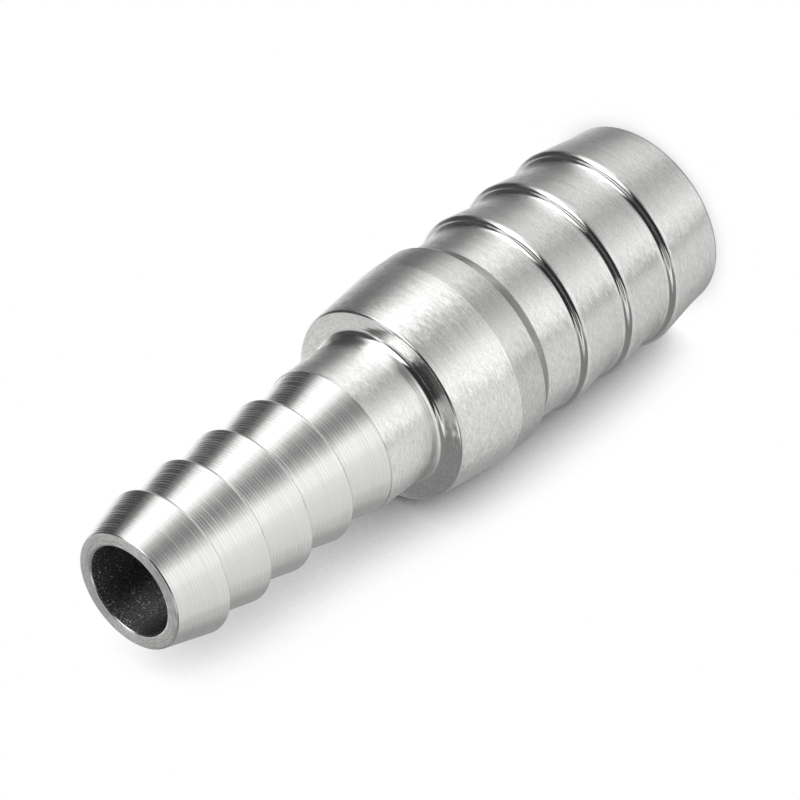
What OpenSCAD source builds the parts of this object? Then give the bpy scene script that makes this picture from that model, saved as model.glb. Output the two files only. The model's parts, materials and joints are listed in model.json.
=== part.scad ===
// Hose barb reducer, turned and drilled from one stainless steel bar. It joins a 13 mm hose to
// a 19 mm hose. It stands on its large end: Z runs along the bore, and Z = 0 is the large end's
// face. Lengths add up from there, so any of them can change by itself.

/* [Large tail] */
// Bore of the hose that goes on the large tail
large_hose_d = 19; // [15:0.1:25]
// How much wider than the hose's bore the barbs are
large_grip = 0.9; // [0.6:0.1:1.5]
// How much thinner than the hose's bore the tail is between the barbs
large_relief = 0.5; // [0.2:0.1:0.8]
// How much thinner the end is than the tail between the barbs
large_end_relief = 0.4; // [0.2:0.1:0.8]
// Wall of the tail between the barbs
large_wall = 1.5; // [1.1:0.1:2.5]
// Number of barbs
large_barbs = 3; // [1:1:6]
// Length of the lead-in from the end face to the first cone's foot
large_lead_len = 2.05; // [0.5:0.05:6]
// Length of a cone, from its foot to its crest
large_cone_len = 4.35; // [2:0.05:10]
// Length of a barb's rounded back
large_back_len = 0.95; // [0.75:0.01:2]
// Plain stretch between one barb's foot and the next barb's back
large_land_len = 0.8; // [0.1:0.1:5]
// Plain shank between the last barb and the collar
large_shank_len = 3.95; // [1:0.05:15]

/* [Collar] */
// How much higher than the large tail the collar is where it is widest
collar_height = 0.8; // [0.5:0.05:3]
// How much lower its rear edge is than its widest place
collar_rear_drop = 0.05; // [0:0.01:0.3]
// Length of the rear chamfer
collar_chamfer_len = 1.3; // [0.5:0.1:4]
// Length from the rear chamfer to the widest place
collar_rear_len = 3.2; // [1:0.1:10]
// Length from the widest place to the front face
collar_front_len = 7.2; // [6:0.1:20]
// How much higher than the small shank the front face is
collar_face_height = 2.3; // [1:0.01:5]
// Bevel on the front face's outer edge
collar_bevel = 0.25; // [0.1:0.05:0.5]
// Radius of the fillet between the small shank and the front face
collar_fillet_r = 0.7; // [0.1:0.05:2]

/* [Small tail] */
// Bore of the hose that goes on the small tail
small_hose_d = 13; // [10:0.1:16]
// How much wider than the hose's bore the barbs are
small_grip = 1; // [0.6:0.1:1.5]
// How much thinner than the hose's bore a cone's foot is
small_relief = 1.4; // [1:0.1:2]
// How much thinner the first cone starts than the others do
small_end_relief = 0.2; // [0:0.05:0.5]
// How much wider than the barbs the plain shank is
small_shank_over = 0.2; // [0:0.05:0.5]
// Wall at a cone's foot
small_wall = 1.45; // [1:0.05:2]
// Number of full barbs
small_barbs = 4; // [1:1:8]
// Distance from one barb to the next
small_pitch = 5.15; // [3:0.01:10]
// Length of the last, shorter cone, which runs out at the plain shank
small_last_len = 4.7; // [1:0.1:9]
// Plain shank between the last cone and the collar
small_shank_len = 6.5; // [3:0.1:20]
// Rounding of a crest
small_crest_r = 0.3; // [0.1:0.05:0.5]
// Rounding at the foot of a barb's square back
small_foot_r = 0.15; // [0.05:0.05:0.3]

/* [Bore] */
// Distance from the collar's front face back to the end of the large bore
bore_step_back = 5.2; // [4:0.1:10]
// Angle across the drilled cone that joins the two bores
drill_angle = 118; // [90:1:140]
// Bevel at each mouth
mouth_bevel = 0.2; // [0.1:0.05:0.3]
// Bevel on the outer edge of each end face
edge_bevel = 0.15; // [0.05:0.05:0.3]

/* [Hidden] */
$fn = 128;
arc_steps = 6;
overrun = 1;

large_crest_r = (large_hose_d + large_grip) / 2;
large_root_r = (large_hose_d - large_relief) / 2;
large_end_r = large_root_r - large_end_relief / 2;
large_bore_r = large_root_r - large_wall;
large_pitch = large_cone_len + large_back_len + large_land_len;

small_crest_edge_r = (small_hose_d + small_grip) / 2;
small_root_r = (small_hose_d - small_relief) / 2;
small_end_r = small_root_r - small_end_relief / 2;
small_shank_r = small_crest_edge_r + small_shank_over / 2;
small_bore_r = small_root_r - small_wall;

collar_peak_r = large_root_r + collar_height;
collar_rear_r = collar_peak_r - collar_rear_drop;
collar_face_r = small_shank_r + collar_face_height;
collar_fillet = min(collar_fillet_r, collar_face_height - collar_bevel);

large_shank_z = large_lead_len + large_barbs * large_pitch - large_land_len;
collar_foot_z = large_shank_z + large_shank_len;
collar_rear_z = collar_foot_z + collar_chamfer_len;
collar_peak_z = collar_rear_z + collar_rear_len;
collar_face_z = collar_peak_z + collar_front_len;
small_shank_z = collar_face_z + small_shank_len;
small_foot_z = small_shank_z + small_last_len;
small_face_z = small_foot_z + small_barbs * small_pitch;

large_bore_end_z = collar_face_z - bore_step_back;
small_bore_start_z = large_bore_end_z + (large_bore_r - small_bore_r) / tan(drill_angle / 2);

// Points of an arc about a centre, from one angle to another
function arc(centre, r, from, to) =
    [for (i = [0 : arc_steps])
        let (angle = from + (to - from) * i / arc_steps)
        centre + r * [cos(angle), sin(angle)]];

// Angle of the normal to a cone that leaves a point and touches a crest's rounding
function cone_normal(crest_centre, crest_r, start) =
    let (run = crest_centre - start)
    atan2(run.y, run.x) + acos(-crest_r / norm(run));

// A small barb whose square back is at z: its cone starts at radius start_r, one pitch nearer to
// the end face, and ends in a rounded crest. A fillet lies at the foot of the back
function small_barb(z, start_r) =
    let (
        crest = [small_crest_edge_r - small_crest_r, z + small_crest_r],
        slope = cone_normal(crest, small_crest_r, [start_r, z + small_pitch]),
        foot = [small_root_r + small_foot_r * (1 + sin(slope)) / cos(slope), z - small_foot_r]
    )
    concat(
        arc(crest, small_crest_r, slope, -90),
        arc(foot, small_foot_r, 90, 180 + slope)
    );

// A large barb whose crest is at z: the back is an S of two equal arcs, and the cone falls
// towards the large end
function large_barb(z) =
    let (
        rise = large_crest_r - large_root_r,
        steepest = 2 * atan(rise / large_back_len),
        r = large_back_len / 2 / sin(steepest),
        crest = [large_crest_r - r, z],
        cone_foot = [large_root_r, z - large_cone_len],
        run = crest - cone_foot,
        slope = atan2(run.y, run.x) - acos(-r / norm(run))
    )
    concat(
        arc([large_root_r + r, z + large_back_len], r, 180, 180 + steepest),
        arc(crest, r, steepest, slope),
        [cone_foot]
    );

// Half section of the outside, from the small end's face to the large end's
module outside() {
    slope = atan2(small_crest_edge_r - small_root_r, small_pitch);
    polygon(concat(
        [[0, small_face_z],
         [small_end_r - edge_bevel, small_face_z],
         [small_end_r, small_face_z - edge_bevel]],
        [for (i = [1 : small_barbs])
            each small_barb(small_face_z - i * small_pitch, i == 1 ? small_end_r : small_root_r)],
        [[small_root_r + small_last_len * tan(slope), small_shank_z],
         [small_shank_r, small_shank_z]],
        arc([small_shank_r + collar_fillet, collar_face_z + collar_fillet], collar_fillet, 180, 270),
        [[collar_face_r - collar_bevel, collar_face_z],
         [collar_face_r, collar_face_z - collar_bevel],
         [collar_peak_r, collar_peak_z],
         [collar_rear_r, collar_rear_z],
         [large_root_r, collar_foot_z]],
        [for (i = [large_barbs - 1 : -1 : 0])
            each large_barb(large_lead_len + large_cone_len + i * large_pitch)],
        [[large_end_r, edge_bevel],
         [large_end_r - edge_bevel, 0],
         [0, 0]]
    ));
}

// Half section of the stepped bore, which runs past both faces
module bore() {
    polygon([
        [0, -overrun],
        [large_bore_r + mouth_bevel + overrun, -overrun],
        [large_bore_r, mouth_bevel],
        [large_bore_r, large_bore_end_z],
        [small_bore_r, small_bore_start_z],
        [small_bore_r, small_face_z - mouth_bevel],
        [small_bore_r + mouth_bevel + overrun, small_face_z + overrun],
        [0, small_face_z + overrun]
    ]);
}

module barbed_reducer() {
    color([0.76, 0.76, 0.75])
    rotate_extrude()
    difference() {
        outside();
        bore();
    }
}

barbed_reducer();
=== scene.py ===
import bpy
import json
import math
from mathutils import Matrix, Vector


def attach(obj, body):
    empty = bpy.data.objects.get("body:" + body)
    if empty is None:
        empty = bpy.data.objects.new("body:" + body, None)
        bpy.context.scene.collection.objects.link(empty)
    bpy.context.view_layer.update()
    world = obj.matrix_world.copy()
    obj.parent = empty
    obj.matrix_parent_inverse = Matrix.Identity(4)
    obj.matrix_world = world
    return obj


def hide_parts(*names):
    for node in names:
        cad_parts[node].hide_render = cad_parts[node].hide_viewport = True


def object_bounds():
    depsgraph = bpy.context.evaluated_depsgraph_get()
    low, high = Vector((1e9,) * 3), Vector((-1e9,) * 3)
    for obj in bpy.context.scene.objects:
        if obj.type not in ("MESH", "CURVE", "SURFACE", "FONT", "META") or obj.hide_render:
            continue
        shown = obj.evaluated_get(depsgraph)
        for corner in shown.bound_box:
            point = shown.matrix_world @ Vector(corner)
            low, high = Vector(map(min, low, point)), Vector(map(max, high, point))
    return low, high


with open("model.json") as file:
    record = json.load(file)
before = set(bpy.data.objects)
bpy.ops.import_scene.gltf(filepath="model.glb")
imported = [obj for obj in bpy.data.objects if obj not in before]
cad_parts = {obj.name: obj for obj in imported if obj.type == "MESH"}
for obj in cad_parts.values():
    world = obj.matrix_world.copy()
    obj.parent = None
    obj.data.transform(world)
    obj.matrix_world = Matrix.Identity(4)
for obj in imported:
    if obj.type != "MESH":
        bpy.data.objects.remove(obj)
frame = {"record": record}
cad_low, cad_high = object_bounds()

# Camera. It looks down on the standing part from half a metre, and is rolled so that the small
# end comes out at the lower left, as if the part lay on a table. A long lens keeps the part's
# two ends nearly in proportion.
CAMERA_DISTANCE = 0.5204
CAMERA_ELEVATION = math.radians(35.0)
CAMERA_ROLL = math.radians(-126.47)
CAMERA_AIM = Vector((-0.0006, 0, 0.0331))
CAMERA_REACH = 10
LENS_MM = 269.65
SENSOR_MM = 36

bpy.ops.object.camera_add()
camera = bpy.context.object
camera.name = "camera"
camera.data.lens = LENS_MM
camera.data.sensor_width = SENSOR_MM
camera.data.clip_end = CAMERA_REACH
towards_camera = Vector((0, -math.cos(CAMERA_ELEVATION), math.sin(CAMERA_ELEVATION)))
upright = Matrix.Rotation(math.pi / 2 - CAMERA_ELEVATION, 4, "X")
rolled = upright @ Matrix.Rotation(CAMERA_ROLL, 4, "Z")
camera.matrix_world = Matrix.Translation(CAMERA_AIM + CAMERA_DISTANCE * towards_camera) @ rolled
bpy.context.scene.camera = camera
bpy.context.scene.view_settings.view_transform = "Standard"


# Studio. The part stands in a white room, inside a round tent of white, grey and black cloth that
# only the steel mirrors. The tent's upright panels give a turned surface light and dark bands along
# its length, and a black hood round the camera gives rims and hollows their dark lines.
class Signal:
    """A socket of a node tree. Sums on it add Math nodes."""

    def __init__(self, socket):
        self.socket = socket
        self.tree = socket.id_data

    def node(self, kind, inputs=(), output=0, **settings):
        return add_node(self.tree, kind, inputs, output, **settings)

    def math(self, operation, *values):
        return self.node("ShaderNodeMath", dict(enumerate((self, *values))), operation=operation)

    def __add__(self, other):
        return self.math("ADD", other)

    def __sub__(self, other):
        return self.math("SUBTRACT", other)

    def __rsub__(self, other):
        return (self * -1) + other

    def __mul__(self, other):
        return self.math("MULTIPLY", other)

    def __truediv__(self, other):
        return self.math("DIVIDE", other)

    __radd__ = __add__
    __rmul__ = __mul__

    def parts(self):
        """The X, Y and Z of a vector."""
        return [self.node("ShaderNodeSeparateXYZ", {0: self}, output=axis) for axis in "XYZ"]

    def step(self, start, end):
        """0 up to start, 1 from end on, and smooth between them."""
        return self.node(
            "ShaderNodeMapRange", {"Value": self, "From Min": start, "From Max": end},
            interpolation_type="SMOOTHSTEP",
        )


def add_node(tree, kind, inputs=(), output=0, **settings):
    """Adds a node, gives it its settings and then its sockets' values or links."""
    node = tree.nodes.new(kind)
    for name, value in settings.items():
        if name == "stops":
            fill_ramp(node.color_ramp, value)
        else:
            setattr(node, name, value)
    for name, value in dict(inputs).items():
        if isinstance(value, Signal):
            tree.links.new(value.socket, node.inputs[name])
        else:
            node.inputs[name].default_value = value
    return Signal(node.outputs[output]) if node.outputs else None


def fill_ramp(ramp, stops):
    """Sets a ramp's stops from (place, grey level) pairs."""
    ramp.interpolation = "EASE"
    while len(ramp.elements) < len(stops):
        ramp.elements.new(0.5)
    for element, (place, level) in zip(ramp.elements, stops):
        element.position = place
        element.color = (level, level, level, 1)


world = bpy.data.worlds.new("white_room")
world.use_nodes = True
world.node_tree.nodes.clear()
background = add_node(world.node_tree, "ShaderNodeBackground", {"Color": (1, 1, 1, 1), "Strength": 1})
background.node("ShaderNodeOutputWorld", {"Surface": background})
bpy.context.scene.world = world

# The tent's panels as (direction in degrees round the part from the camera's side, brightness),
# in four zones one below the other. The level panels stand at the part's own height
HIGH_PANELS = (
    (-180, 0.60), (-173, 0.24), (-75, 0.24), (-58, 0.60), (-46, 0.90), (-20, 1.00), (-4, 0.80),
    (8, 0.45), (22, 0.50), (34, 1.20), (41, 2.40), (78, 2.40), (87, 0.08), (138, 0.08),
    (150, 0.60), (175, 0.72), (180, 0.60),
)
LEVEL_PANELS = (
    (-180, 0.55), (-158, 0.28), (-135, 0.34), (-108, 0.56), (-90, 0.78), (-66, 0.86),
    (-48, 0.94), (-30, 1.10), (-15, 1.12), (-7, 0.82), (0, 0.54), (8, 0.34), (16, 0.26),
    (25, 0.29), (36, 0.50), (46, 1.05), (56, 1.55), (68, 1.75), (78, 1.20), (94, 0.20),
    (104, 0.06), (122, 0.07), (138, 0.20), (152, 0.92), (164, 1.30), (176, 0.75), (180, 0.55),
)
LOW_PANELS = (
    (-180, 0.35), (-140, 0.40), (-108, 0.72), (-66, 0.80), (-48, 0.95), (-32, 1.30), (-14, 1.28),
    (0, 1.03), (10, 0.86), (20, 0.72), (32, 0.82), (42, 1.05), (54, 1.22), (64, 1.14), (74, 0.88),
    (84, 0.58), (94, 0.38), (108, 0.23), (124, 0.24), (138, 0.42), (152, 0.88), (166, 1.20),
    (176, 0.50), (180, 0.35),
)
LOWEST_PANELS = (
    (-180, 0.35), (-140, 0.40), (-113, 0.70), (-84, 0.77), (-66, 0.72), (-46, 0.74), (-35, 0.82),
    (-23, 0.84), (-12, 0.54), (0, 0.48), (12, 0.32), (23, 0.20), (35, 0.27), (52, 0.48),
    (71, 0.44), (84, 0.42), (94, 0.38), (108, 0.23), (124, 0.26), (138, 0.60), (152, 1.00),
    (166, 1.20), (176, 0.50), (180, 0.35),
)
BRIGHTEST = 2.40

# The cloth that hangs in front of the panels: a ceiling, a ring low down with a dark disc inside
# it, a dark seam between two panels, and in black the hood and a cap straight above the part
CEILING_LEVEL = 1.15
RING_LEVEL = 1.60
DISC_LEVEL = 0.15
BLACK_LEVEL = 0.03
SEAM_DEPTH = 0.95

# (start, end) of each zone's soft edge: its height in tent radii, or its depth if the zone lies
# below the part, and for the seam and the hood the degrees to either side of their direction
HIGH_FROM = (0.18, 0.40)
LOW_FROM = (0.26, 0.45)
LOWEST_FROM = (0.60, 0.78)
CEILING_FROM = (0.78, 0.86)
RING_FROM = (0.88, 0.92)
DISC_FROM = (0.96, 0.98)
CAP_FROM = (0.87, 0.91)
SEAM_FROM = (0.45, 0.72)
SEAM_DIRECTION = -55
SEAM_SIDE = (2, 9)
HOOD_FROM = (0.26, 0.42)
HOOD_DIRECTION = -15
HOOD_SIDE = (39, 45)
TENT_RADIUS = 1.5

bpy.ops.object.select_all(action="DESELECT")
bpy.ops.mesh.primitive_uv_sphere_add(segments=64, ring_count=32, radius=TENT_RADIUS)
tent = bpy.context.object
tent.name = "light_tent"
cloth = bpy.data.materials.new("tent_cloth")
cloth.use_nodes = True
cloth.cycles.emission_sampling = "NONE"
tree = cloth.node_tree
tree.nodes.clear()
place = add_node(tree, "ShaderNodeTexCoord", output="Object")
x, y, height = (part / TENT_RADIUS for part in place.parts())
depth = height * -1
direction = x.math("ARCTAN2", y * -1) * math.degrees(1)


def on_ramp(angle):
    """The place on a ramp of a direction from -180 to 180 degrees."""
    return angle / 360 + 0.5


def panels(levels):
    """The brightness of a zone's panels. The ramp holds it as a share of the brightest one's."""
    stops = [(on_ramp(angle), level / BRIGHTEST) for angle, level in levels]
    return direction.node("ShaderNodeValToRGB", {"Fac": on_ramp(direction)}, stops=stops) * BRIGHTEST


def cover(walls, zone, level):
    """Hangs cloth of one brightness in front of the walls, where the zone is 1."""
    return walls * (1 - zone) + zone * level


high = height.step(*HIGH_FROM)
low = depth.step(*LOW_FROM)
lowest = depth.step(*LOWEST_FROM)
walls = panels(HIGH_PANELS) * high + panels(LEVEL_PANELS) * (1 - high) * (1 - low)
walls = walls + (panels(LOW_PANELS) * (1 - lowest) + panels(LOWEST_PANELS) * lowest) * low
walls = cover(walls, height.step(*CEILING_FROM), CEILING_LEVEL)
walls = cover(walls, depth.step(*RING_FROM), RING_LEVEL)
walls = cover(walls, depth.step(*DISC_FROM), DISC_LEVEL)
off_seam = (direction - SEAM_DIRECTION).math("ABSOLUTE")
walls = walls * (1 - SEAM_DEPTH * (1 - off_seam.step(*SEAM_SIDE)) * depth.step(*SEAM_FROM))
off_hood = (direction - HOOD_DIRECTION).math("ABSOLUTE")
hood = (1 - off_hood.step(*HOOD_SIDE)) * height.step(*HOOD_FROM)
walls = cover(walls, hood.math("MAXIMUM", height.step(*CAP_FROM)), BLACK_LEVEL)
glow = walls.node("ShaderNodeEmission", {"Strength": walls})
glow.node("ShaderNodeOutputMaterial", {"Surface": glow})
tent.data.materials.append(cloth)
tent.visible_camera = False
tent.visible_diffuse = False
tent.visible_transmission = False
tent.visible_shadow = False


# Floor. A plain white floor under the large end, and a white card beside the part. Both glow white,
# with the part's soft shadow painted on them, along the card's length too. Only the camera sees them,
# the card from its front.
FLOOR_SIZE = 3.0
CARD_SIZE = 0.5
CARD_DIRECTION = math.radians(38.8)
SHADOW_REACH = 0.1

# (slope, base) of a plane's painted shadow: its brightness against how open it is to the room
FLOOR_PAINTED_SHADOW = (1.22, 0.25)
CARD_PAINTED_SHADOW = (2.2, -0.17)

bpy.ops.object.select_all(action="DESELECT")
bpy.ops.mesh.primitive_plane_add(size=FLOOR_SIZE)
floor = bpy.context.object
floor.name = "floor"
card_front = Vector((math.sin(CARD_DIRECTION), -math.cos(CARD_DIRECTION), 0))
bpy.ops.mesh.primitive_plane_add(size=CARD_SIZE)
card = bpy.context.object
card.name = "shadow_card"
card.matrix_world = (
    Matrix.Translation(card_front * -cad_high.x + Vector((0, 0, CARD_SIZE / 2)))
    @ card_front.to_track_quat("Z", "Y").to_matrix().to_4x4()
)
for plane, (slope, base) in ((floor, FLOOR_PAINTED_SHADOW), (card, CARD_PAINTED_SHADOW)):
    paper = bpy.data.materials.new(plane.name)
    paper.use_nodes = True
    tree = paper.node_tree
    tree.nodes.clear()
    # Painted shadow: the glow is dimmed where the part shuts a point off from the room
    light = add_node(tree, "ShaderNodeAmbientOcclusion", {"Distance": SHADOW_REACH}, output="AO")
    brightness = (light * slope + base).math("MINIMUM", 1)
    lit = brightness.node("ShaderNodeEmission", {"Strength": brightness})
    if plane is card:
        from_behind = add_node(tree, "ShaderNodeNewGeometry", output="Backfacing")
        clear = add_node(tree, "ShaderNodeBsdfTransparent")
        lit = lit.node("ShaderNodeMixShader", {0: from_behind, 1: lit, 2: clear})
    lit.node("ShaderNodeOutputMaterial", {"Surface": lit})
    plane.data.materials.append(paper)
    plane.visible_diffuse = False
    plane.visible_glossy = False
    plane.visible_transmission = False
    plane.visible_shadow = False


# Reducer body. One stainless steel bar, turned and drilled: a small barbed tail, a collar and a
# large barbed tail. Half its section is drawn from the small end's mouth round the outside to
# the large end's mouth and back through the bore, and then spun about the axis.
MM = 0.001

# Radii (R), lengths along the axis, rounds, bevels and WELD are in mm
SMALL_PITCH = 5.15
SMALL_BARBS = 4
SMALL_CREST_R = 7.0
SMALL_FOOT_R = 5.8
SMALL_END_R = 5.7
CREST_ROUND = 0.3
FOOT_ROUND = 0.15
LAST_STEP = 0.04
FILLET = 0.7
COLLAR_FACE_R = 9.4
COLLAR_REAR_R = 10.0
COLLAR_REAR_LEN = 3.2
COLLAR_FRONT_LEN = 7.2
COLLAR_BEVEL = 0.25
CHAMFER_LEN = 1.3
LARGE_ROOT_R = 9.25
LARGE_CREST_R = 9.95
LARGE_END_R = 9.05
LARGE_BARBS = 3
LARGE_LEAD = 2.05
LARGE_CONE = 4.35
LARGE_BACK = 0.95
LARGE_LAND = 0.8
EDGE_BEVEL = 0.15
MOUTH_BEVEL = 0.2
ARC_STEPS = 12
FOOT_STEPS = 6
EDGE_STEPS = 4
TURN_STEPS = 384
WELD = 0.001
SHARP_ANGLE = math.radians(25)

mounts = {mount["name"]: mount for mount in frame["record"]["mounts"]}
length = cad_high.z / MM
small_bore_r = mounts["small_bore"]["dims"]["r_mm"]
large_bore_r = mounts["large_bore"]["dims"]["r_mm"]
small_shank_r = mounts["small_shank"]["dims"]["r_mm"]
shank_middle = mounts["small_shank"]["pos_m"][2] / MM
shank_half = mounts["small_shank"]["dims"]["length_mm"] / 2
small_shank_z = shank_middle + shank_half
collar_face_z = shank_middle - shank_half - FILLET
collar_peak_z = collar_face_z - COLLAR_FRONT_LEN
collar_rear_z = collar_peak_z - COLLAR_REAR_LEN
collar_foot_z = collar_rear_z - CHAMFER_LEN
large_pitch = LARGE_CONE + LARGE_BACK + LARGE_LAND
drill_start = mounts["small_bore"]["pos_m"][2] / MM - mounts["small_bore"]["dims"]["length_mm"] / 2
drill_end = mounts["large_bore"]["pos_m"][2] / MM + mounts["large_bore"]["dims"]["length_mm"] / 2


def arc(centre, radius, start, end, steps=ARC_STEPS):
    """Points of an arc in the half section, as (radius, height), with angles in degrees."""
    angles = [math.radians(start + (end - start) * i / steps) for i in range(steps + 1)]
    return [Vector((centre[0] + radius * math.cos(a), centre[1] + radius * math.sin(a))) for a in angles]


def small_barb(z, start_r):
    """A rounded crest with its square back at z, and the fillet at the back's foot."""
    crest = Vector((SMALL_CREST_R - CREST_ROUND, z + CREST_ROUND))
    run = crest - Vector((start_r, z + SMALL_PITCH))
    slope = math.degrees(math.atan2(run.y, run.x) + math.acos(-CREST_ROUND / run.length))
    lean = math.radians(slope)
    foot = (SMALL_FOOT_R + FOOT_ROUND * (1 + math.sin(lean)) / math.cos(lean), z - FOOT_ROUND)
    return arc(crest, CREST_ROUND, slope, -90) + arc(foot, FOOT_ROUND, 90, 180 + slope, FOOT_STEPS)


def large_barb(z):
    """An S-shaped back of two equal arcs that ends in the crest at z, and the foot of its cone."""
    rise = LARGE_CREST_R - LARGE_ROOT_R
    steepest = 2 * math.degrees(math.atan(rise / LARGE_BACK))
    radius = LARGE_BACK / 2 / math.sin(math.radians(steepest))
    crest = Vector((LARGE_CREST_R - radius, z))
    foot = Vector((LARGE_ROOT_R, z - LARGE_CONE))
    run = crest - foot
    slope = math.degrees(math.atan2(run.y, run.x) - math.acos(-radius / run.length))
    back = arc((LARGE_ROOT_R + radius, z + LARGE_BACK), radius, 180, 180 + steepest)
    return back + arc(crest, radius, steepest, slope) + [foot]


def edge(corner, size, start, end):
    """A broken edge: a quarter round of the given size in the corner of two square faces."""
    inwards = math.radians((start + end) / 2)
    centre = Vector(corner) - size * math.sqrt(2) * Vector((math.cos(inwards), math.sin(inwards)))
    return arc(centre, size, start, end, EDGE_STEPS)


section = edge((small_bore_r, length), MOUTH_BEVEL, 180, 90)
section += edge((SMALL_END_R, length), EDGE_BEVEL, 90, 0)
for i in range(SMALL_BARBS):
    section += small_barb(length - (i + 1) * SMALL_PITCH, SMALL_END_R if i == 0 else SMALL_FOOT_R)
section += [
    Vector((small_shank_r - LAST_STEP, small_shank_z)),
    Vector((small_shank_r, small_shank_z)),
]
section += arc((small_shank_r + FILLET, collar_face_z + FILLET), FILLET, 180, 270)
section += edge((COLLAR_FACE_R, collar_face_z), COLLAR_BEVEL, 90, 0)
section += [
    Vector((cad_high.x / MM, collar_peak_z)),
    Vector((COLLAR_REAR_R, collar_rear_z)),
    Vector((LARGE_ROOT_R, collar_foot_z)),
]
for i in reversed(range(LARGE_BARBS)):
    section += large_barb(LARGE_LEAD + LARGE_CONE + i * large_pitch)
section += edge((LARGE_END_R, 0), EDGE_BEVEL, 0, -90)
section += edge((large_bore_r, 0), MOUTH_BEVEL, 270, 180)
section += [
    Vector((large_bore_r, drill_end)),
    Vector((small_bore_r, drill_start)),
    section[0],
]

bpy.ops.object.select_all(action="DESELECT")
bpy.ops.mesh.primitive_plane_add(size=MM)
body = bpy.context.object
body.name = "turned_body"
bpy.ops.object.mode_set(mode="EDIT")
bpy.ops.mesh.merge(type="CENTER")
bpy.ops.transform.translate(value=(section[0].x * MM, 0, section[0].y * MM))
for start, end in zip(section, section[1:]):
    move = (end - start) * MM
    bpy.ops.mesh.extrude_region_move(TRANSFORM_OT_translate={"value": (move.x, 0, move.y)})
bpy.ops.mesh.select_all(action="SELECT")
bpy.ops.mesh.spin(steps=TURN_STEPS, angle=2 * math.pi, center=(0, 0, 0), axis=(0, 0, 1))
bpy.ops.mesh.select_all(action="SELECT")
bpy.ops.mesh.remove_doubles(threshold=WELD * MM)
bpy.ops.mesh.normals_make_consistent(inside=False)
bpy.ops.object.mode_set(mode="OBJECT")
bpy.ops.object.shade_smooth_by_angle(angle=SHARP_ANGLE)

# The steel. The small cones keep the tool's regular marks. The large barbs' backs, the collar's
# face and the shank's foot are smooth, the small end's face is rough, the bore is speckled and
# darkened by painted shade, and the rest has a satin grain. FEED is the distance between marks in mm
FEED = 0.23
MARK_STRENGTH = 0.54
MARK_SPREAD = 1.2
MARK_WANDER = 5
RADIUS_SHARE = 0.7
GRAIN_PER_MM = 7
GRAIN_SPECKS = (0.60, 0.70)
SPECK_PATCHES = (0.45, 0.60)
MEAN = 0.5

# How far marks, clouds and the dished collar face tilt the surface, as a slope
MARK_LEAN = 0.11
CLOUD_SWAY = 0.06
FACE_DISH = 0.12

# The steel's tone, colour and roughness, and how much each texture changes them
STEEL_TONE = 0.79
STEEL_TINT = (1.0, 0.994, 0.982)
STEEL_ROUGHNESS = 0.21
FINE_TONE = 0.10
COARSE_TONE = 0.05
MARK_TONE = 0.03
STREAK_TONE = 0.40
GRAIN_TONE = 0.36
BORE_GRAIN_TONE = 0.40
SPECK_TONE = 0.50
COARSE_ROUGHNESS = 0.04

# (start, end) of a zone's soft edge, as parts of a unit normal that points inwards, along the
# axis or towards the small end, and as mm from the small end
INWARDS = (0.75, 0.95)
ALONG_AXIS = (0.97, 0.995)
TO_SMALL_END = (0.28, 0.50)
DEEP_IN_BORE = (0.2, 6.5)

# How far the zones' ends lie from the places that they are named after, and how soft they are
CONES_MARGIN = 0.2
FOOT_MARGIN = 0.03
FRONT_MARGIN = 0.4
POLISH_LEN = 1.8
POLISH_BLUR = 0.6
FACE_BLUR = 0.1
ZONE_BLUR = 0.05

steel = bpy.data.materials.new("turned_steel")
steel.use_nodes = True
tree = steel.node_tree
tree.nodes.clear()
place = add_node(tree, "ShaderNodeTexCoord", output="Object")
normal = add_node(tree, "ShaderNodeNewGeometry", output="Normal")
x, y, z = (part / MM for part in place.parts())
nx, ny, nz = normal.parts()
radius = (x * x + y * y).math("SQRT")
outward = (nx * x + ny * y) / radius

# Where the rings lie. The radius counts too, so that faces square to the axis have rings as well
along = z + radius * RADIUS_SHARE


def above(height, blur=ZONE_BLUR):
    """1 above a height in mm, and 0 below it."""
    return z.step(height - blur, height + blur)


def by_zone(value, *changes):
    """A value, changed in each zone of the (zone, change) pairs."""
    return sum((zone * change for zone, change in changes), value)


def rings(around, across):
    """Uneven rings round the axis, as noise from 0 to 1, with its scales per mm."""
    vector = place.node("ShaderNodeCombineXYZ", {"X": x * around, "Y": y * around, "Z": along * across})
    return place.node("ShaderNodeTexNoise", {"Vector": vector, "Scale": 1, "Detail": 1})


# Zones, each 1 on its part of the surface and 0 elsewhere. The small barbs' square backs go with
# the end face
bore = (outward * -1).step(*INWARDS)
cones = above(small_shank_z - CONES_MARGIN)
flat = nz.math("ABSOLUTE").step(*ALONG_AXIS)
end_face = flat * cones
back = nz.step(*TO_SMALL_END) * (1 - end_face)
collar_face = flat * back
chamfer = above(collar_foot_z - FOOT_MARGIN) * (1 - above(collar_rear_z))
rear_collar = above(collar_foot_z - FOOT_MARGIN) * (1 - above(collar_peak_z))
front_collar = above(collar_peak_z) * (1 - above(collar_face_z - FRONT_MARGIN))
shank = above(collar_face_z, FACE_BLUR) * (1 - cones)
polished = above(collar_face_z, FACE_BLUR) * (1 - above(collar_face_z + POLISH_LEN, POLISH_BLUR))
satin = (1 - cones) * (1 - back) * (1 - bore) * (1 - polished)
# The large end's bottom edge, darkened later as a painted contact shadow
rim_painted_shade = 1 - above(EDGE_BEVEL)
deep_bore = bore * (length - z).step(*DEEP_IN_BORE)

fine = rings(around=0.25, across=10.5)
coarse = rings(around=0.09, across=1.6)
streak = rings(around=1.5, across=8.5)
cloud = rings(around=0.35, across=1.1)
grain = place.node("ShaderNodeTexNoise", {"Vector": place, "Scale": GRAIN_PER_MM / MM, "Detail": 1})
specks = grain.step(*GRAIN_SPECKS) * coarse.step(*SPECK_PATCHES) * bore
wave = (along * (2 * math.pi / FEED) + MARK_WANDER * coarse).math("SINE")
marks = wave * (MARK_STRENGTH + MARK_SPREAD * (coarse - MEAN)) * cones

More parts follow.
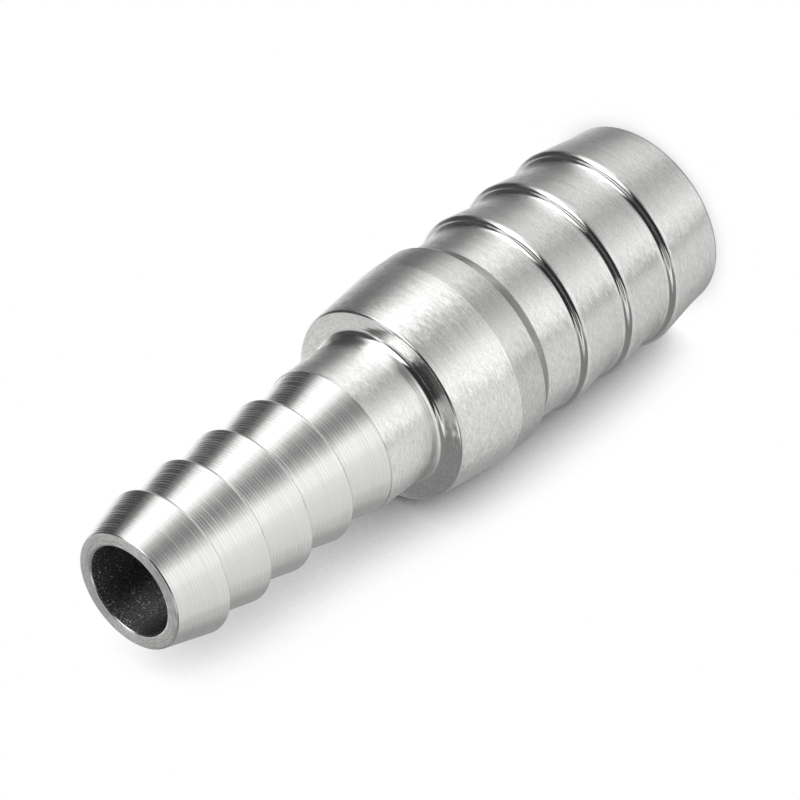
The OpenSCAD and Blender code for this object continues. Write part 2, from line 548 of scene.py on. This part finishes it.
# The surface leans along the part from ring to ring, and sways round it
round_axis = place.node("ShaderNodeCombineXYZ", {"X": y * -1 / radius, "Y": x / radius})
along_skin = place.node("ShaderNodeVectorMath", {0: round_axis, 1: normal}, operation="CROSS_PRODUCT")
lean = by_zone(0.28, (back, -0.12)) * (fine - MEAN) + MARK_LEAN * marks + FACE_DISH * collar_face
sway = by_zone(0.04, (satin, 0.16), (end_face, 0.2), (collar_face, 0.1)) * (streak - MEAN)
sway = sway + CLOUD_SWAY * (cloud - MEAN) * satin
tilted = normal
for way, amount in ((along_skin, lean), (round_axis, sway)):
    push = place.node("ShaderNodeVectorMath", {0: way, "Scale": amount}, operation="SCALE")
    tilted = place.node("ShaderNodeVectorMath", {0: tilted, 1: push}, operation="ADD")

grain_depth = by_zone(0, (satin, 1), (end_face, 1.5), (collar_face, 0.8))
tone = STEEL_TONE + FINE_TONE * (fine - MEAN) + COARSE_TONE * (coarse - MEAN) + MARK_TONE * marks
tone = tone + (STREAK_TONE * (streak - MEAN) + GRAIN_TONE * (grain - MEAN)) * grain_depth
# Painted light and shade: the rear collar, the end face and the chamfer are darkened, and the front
# collar and the shank lightened, to stand in for how light falls on each zone
tone = tone * by_zone(1, (rear_collar, -0.18), (front_collar, 0.07), (shank, 0.08))
tone = tone * by_zone(1, (end_face, -0.08)) * by_zone(1, (chamfer, -0.42)) * by_zone(1, (rim_painted_shade, -0.75))
# Painted shade in the bore: its steel is darkened most at the mouth and a little less deep inside
tone = tone * by_zone(1, (bore, -0.82), (deep_bore, 0.14))
tone = tone + BORE_GRAIN_TONE * (grain - MEAN) * bore + SPECK_TONE * specks
red, green, blue = (tone * share for share in STEEL_TINT)
roughness = by_zone(STEEL_ROUGHNESS, (satin, 0.10), (back, -0.09), (end_face, 0.2), (bore, 0.5))
surface = place.node("ShaderNodeBsdfPrincipled", {
    "Base Color": place.node("ShaderNodeCombineColor", {"Red": red, "Green": green, "Blue": blue}),
    "Metallic": 1.0,
    "Roughness": roughness + COARSE_ROUGHNESS * (coarse - MEAN),
    "Anisotropic": 0.75,
    "Anisotropic Rotation": 0.25,
    "Tangent": add_node(tree, "ShaderNodeTangent", direction_type="RADIAL", axis="Z"),
    "Normal": place.node("ShaderNodeVectorMath", {0: tilted}, operation="NORMALIZE"),
})
surface.node("ShaderNodeOutputMaterial", {"Surface": surface})
body.data.materials.append(steel)

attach(body, "root")
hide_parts("barbed_reducer")
